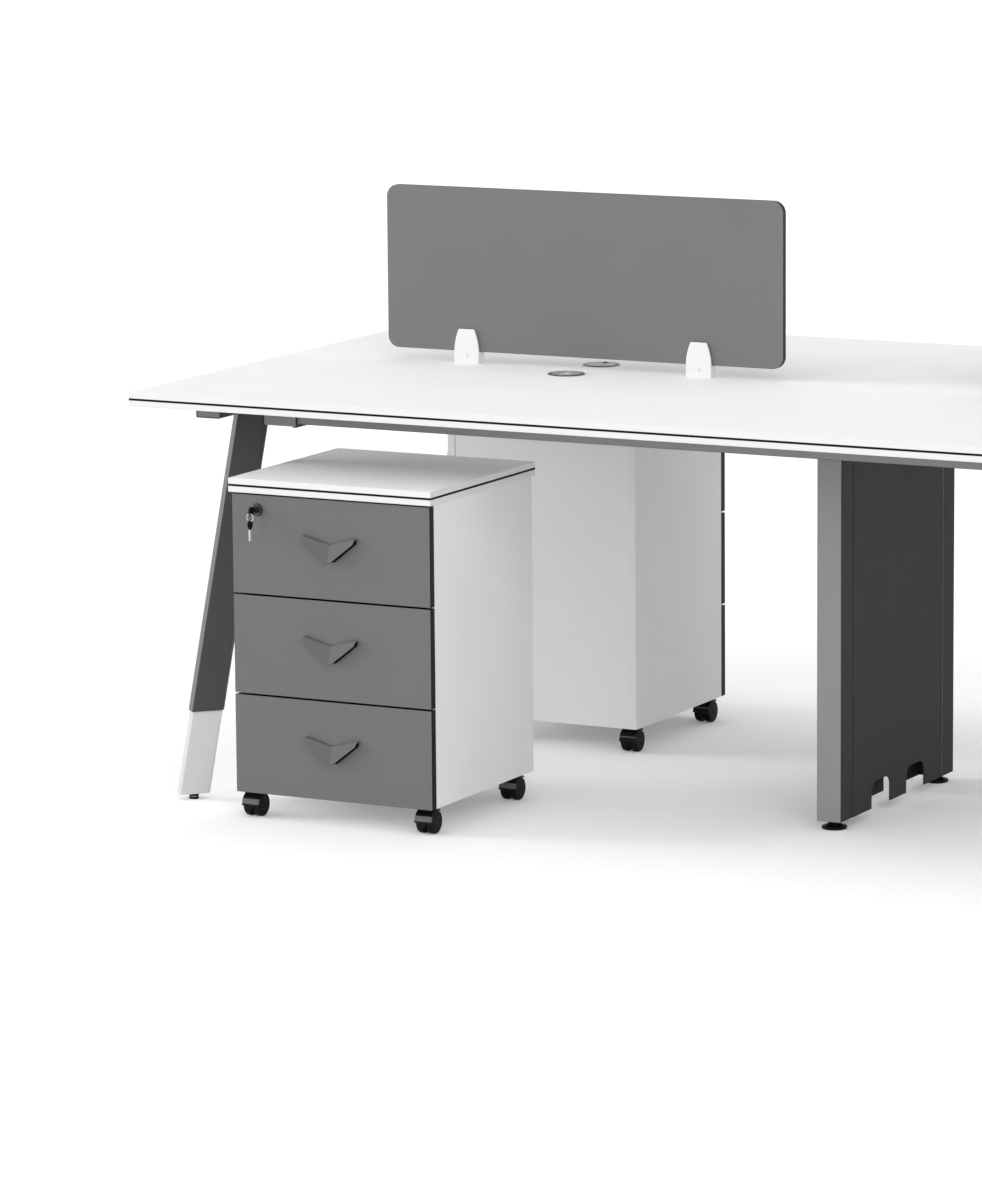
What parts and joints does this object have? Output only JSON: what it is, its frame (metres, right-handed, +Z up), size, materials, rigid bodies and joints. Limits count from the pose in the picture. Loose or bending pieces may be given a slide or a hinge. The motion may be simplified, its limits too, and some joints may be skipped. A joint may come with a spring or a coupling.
{
  "type": "cubicle workstation",
  "caption": "White back-to-back bench workstation with low grey screens, splayed end legs, a flat cable leg and mobile pedestals with locking drawers.",
  "frame": {"origin": "on the floor under the centre of the worktop", "axes": "+X along the worktop from the pedestal bay to the other bay, -Y the front with the first pedestal's drawers, +Z up"},
  "size_m": [2.4, 1.2584, 1.072],
  "materials": {
    "white_board": "white melamine, fine matt",
    "grey_board": "grey melamine, fine matt",
    "drawer_board": "light grey melamine",
    "dark_line": "matt",
    "grey_screen": "grey melamine, fine matt",
    "white_clamp": "smooth powder coat",
    "grommet_grey": "satin",
    "dark_frame": "fine texture powder coat",
    "white_shoe": "smooth powder coat",
    "grey_handle": "satin",
    "black_metal": "satin",
    "key_metal": "nickel with black bow",
    "zinc_steel": "zinc plated",
    "black_plastic": "satin moulded",
    "black_wheel": "satin moulded"
  },
  "bodies": {
    "desk": {"worktop": "white_board", "worktop_inlay": "dark_line", "screens": "grey_screen", "screen_clamps": "white_clamp", "cable_grommets": "grommet_grey", "end_frame_left": "dark_frame", "end_frame_right": "dark_frame", "leg_shoes": "white_shoe", "long_beams": "dark_frame", "middle_leg_frame": "dark_frame", "middle_leg_panels": "dark_frame", "levelling_glides": "black_plastic"},
    "ped1": {"ped1_carcass": "white_board", "ped1_top": "white_board", "ped1_inlay": "dark_line", "ped1_rails": "zinc_steel", "ped1_sockets": "zinc_steel"},
    "ped1_drawer_1": {"ped1_front_1": "grey_board", "ped1_box_1": "drawer_board", "ped1_handle_1": "grey_handle", "ped1_lock": "black_metal"},
    "ped1_drawer_2": {"ped1_front_2": "grey_board", "ped1_box_2": "drawer_board", "ped1_handle_2": "grey_handle"},
    "ped1_drawer_3": {"ped1_front_3": "grey_board", "ped1_box_3": "drawer_board", "ped1_handle_3": "grey_handle"},
    "ped1_key_turn": {"ped1_key": "key_metal"},
    "ped1_caster_1": {"ped1_hood_1": "black_plastic"},
    "ped1_wheel_1": {"ped1_wheels_1": "black_wheel"},
    "ped1_caster_2": {"ped1_hood_2": "black_plastic"},
    "ped1_wheel_2": {"ped1_wheels_2": "black_wheel"},
    "ped1_caster_3": {"ped1_hood_3": "black_plastic"},
    "ped1_wheel_3": {"ped1_wheels_3": "black_wheel"},
    "ped1_caster_4": {"ped1_hood_4": "black_plastic"},
    "ped1_wheel_4": {"ped1_wheels_4": "black_wheel"},
    "ped2": {"ped2_carcass": "white_board", "ped2_top": "white_board", "ped2_inlay": "dark_line", "ped2_rails": "zinc_steel", "ped2_sockets": "zinc_steel"},
    "ped2_drawer_1": {"ped2_front_1": "grey_board", "ped2_box_1": "drawer_board", "ped2_handle_1": "grey_handle", "ped2_lock": "black_metal"},
    "ped2_drawer_2": {"ped2_front_2": "grey_board", "ped2_box_2": "drawer_board", "ped2_handle_2": "grey_handle"},
    "ped2_drawer_3": {"ped2_front_3": "grey_board", "ped2_box_3": "drawer_board", "ped2_handle_3": "grey_handle"},
    "ped2_key_turn": {"ped2_key": "key_metal"},
    "ped2_caster_1": {"ped2_hood_1": "black_plastic"},
    "ped2_wheel_1": {"ped2_wheels_1": "black_wheel"},
    "ped2_caster_2": {"ped2_hood_2": "black_plastic"},
    "ped2_wheel_2": {"ped2_wheels_2": "black_wheel"},
    "ped2_caster_3": {"ped2_hood_3": "black_plastic"},
    "ped2_wheel_3": {"ped2_wheels_3": "black_wheel"},
    "ped2_caster_4": {"ped2_hood_4": "black_plastic"},
    "ped2_wheel_4": {"ped2_wheels_4": "black_wheel"}
  },
  "joints": [
    {"name": "ped1_roll_out", "type": "slide", "parent": "desk", "child": "ped1", "axis": [0, -1, 0], "range_m": [0, 0.5]},
    {"name": "ped1_drawer_1_slide", "type": "slide", "parent": "ped1", "child": "ped1_drawer_1", "axis": [0, -1, 0], "range_m": [0, 0.3]},
    {"name": "ped1_drawer_2_slide", "type": "slide", "parent": "ped1", "child": "ped1_drawer_2", "axis": [0, -1, 0], "range_m": [0, 0.3]},
    {"name": "ped1_drawer_3_slide", "type": "slide", "parent": "ped1", "child": "ped1_drawer_3", "axis": [0, -1, 0], "range_m": [0, 0.3]},
    {"name": "ped1_key_hinge", "type": "hinge", "parent": "ped1_drawer_1", "child": "ped1_key_turn", "pos_m": [-0.943, -0.595, 0.556], "axis": [0, -1, 0], "range_deg": [0, 90]},
    {"name": "ped1_swivel_1", "type": "hinge", "parent": "ped1", "child": "ped1_caster_1", "pos_m": [-0.971, -0.561, 0.045], "axis": [0, 0, 1], "continuous": true},
    {"name": "ped1_wheel_roll_1", "type": "hinge", "parent": "ped1_caster_1", "child": "ped1_wheel_1", "pos_m": [-0.971, -0.565, 0.021], "axis": [1, 0, 0], "continuous": true},
    {"name": "ped1_swivel_2", "type": "hinge", "parent": "ped1", "child": "ped1_caster_2", "pos_m": [-0.623, -0.561, 0.045], "axis": [0, 0, 1], "continuous": true},
    {"name": "ped1_wheel_roll_2", "type": "hinge", "parent": "ped1_caster_2", "child": "ped1_wheel_2", "pos_m": [-0.623, -0.565, 0.021], "axis": [1, 0, 0], "continuous": true},
    {"name": "ped1_swivel_3", "type": "hinge", "parent": "ped1", "child": "ped1_caster_3", "pos_m": [-0.971, -0.243, 0.045], "axis": [0, 0, 1], "continuous": true},
    {"name": "ped1_wheel_roll_3", "type": "hinge", "parent": "ped1_caster_3", "child": "ped1_wheel_3", "pos_m": [-0.971, -0.247, 0.021], "axis": [1, 0, 0], "continuous": true},
    {"name": "ped1_swivel_4", "type": "hinge", "parent": "ped1", "child": "ped1_caster_4", "pos_m": [-0.623, -0.243, 0.045], "axis": [0, 0, 1], "continuous": true},
    {"name": "ped1_wheel_roll_4", "type": "hinge", "parent": "ped1_caster_4", "child": "ped1_wheel_4", "pos_m": [-0.623, -0.247, 0.021], "axis": [1, 0, 0], "continuous": true},
    {"name": "ped2_roll_out", "type": "slide", "parent": "desk", "child": "ped2", "axis": [0, 1, 0], "range_m": [0, 0.5]},
    {"name": "ped2_drawer_1_slide", "type": "slide", "parent": "ped2", "child": "ped2_drawer_1", "axis": [0, 1, 0], "range_m": [0, 0.3]},
    {"name": "ped2_drawer_2_slide", "type": "slide", "parent": "ped2", "child": "ped2_drawer_2", "axis": [0, 1, 0], "range_m": [0, 0.3]},
    {"name": "ped2_drawer_3_slide", "type": "slide", "parent": "ped2", "child": "ped2_drawer_3", "axis": [0, 1, 0], "range_m": [0, 0.3]},
    {"name": "ped2_key_hinge", "type": "hinge", "parent": "ped2_drawer_1", "child": "ped2_key_turn", "pos_m": [-0.651, 0.595, 0.556], "axis": [0, 1, 0], "range_deg": [0, 90]},
    {"name": "ped2_swivel_1", "type": "hinge", "parent": "ped2", "child": "ped2_caster_1", "pos_m": [-0.623, 0.561, 0.045], "axis": [0, 0, 1], "continuous": true},
    {"name": "ped2_wheel_roll_1", "type": "hinge", "parent": "ped2_caster_1", "child": "ped2_wheel_1", "pos_m": [-0.623, 0.557, 0.021], "axis": [1, 0, 0], "continuous": true},
    {"name": "ped2_swivel_2", "type": "hinge", "parent": "ped2", "child": "ped2_caster_2", "pos_m": [-0.971, 0.561, 0.045], "axis": [0, 0, 1], "continuous": true},
    {"name": "ped2_wheel_roll_2", "type": "hinge", "parent": "ped2_caster_2", "child": "ped2_wheel_2", "pos_m": [-0.971, 0.557, 0.021], "axis": [1, 0, 0], "continuous": true},
    {"name": "ped2_swivel_3", "type": "hinge", "parent": "ped2", "child": "ped2_caster_3", "pos_m": [-0.623, 0.243, 0.045], "axis": [0, 0, 1], "continuous": true},
    {"name": "ped2_wheel_roll_3", "type": "hinge", "parent": "ped2_caster_3", "child": "ped2_wheel_3", "pos_m": [-0.623, 0.239, 0.021], "axis": [1, 0, 0], "continuous": true},
    {"name": "ped2_swivel_4", "type": "hinge", "parent": "ped2", "child": "ped2_caster_4", "pos_m": [-0.971, 0.243, 0.045], "axis": [0, 0, 1], "continuous": true},
    {"name": "ped2_wheel_roll_4", "type": "hinge", "parent": "ped2_caster_4", "child": "ped2_wheel_4", "pos_m": [-0.971, 0.239, 0.021], "axis": [1, 0, 0], "continuous": true}
  ]
}
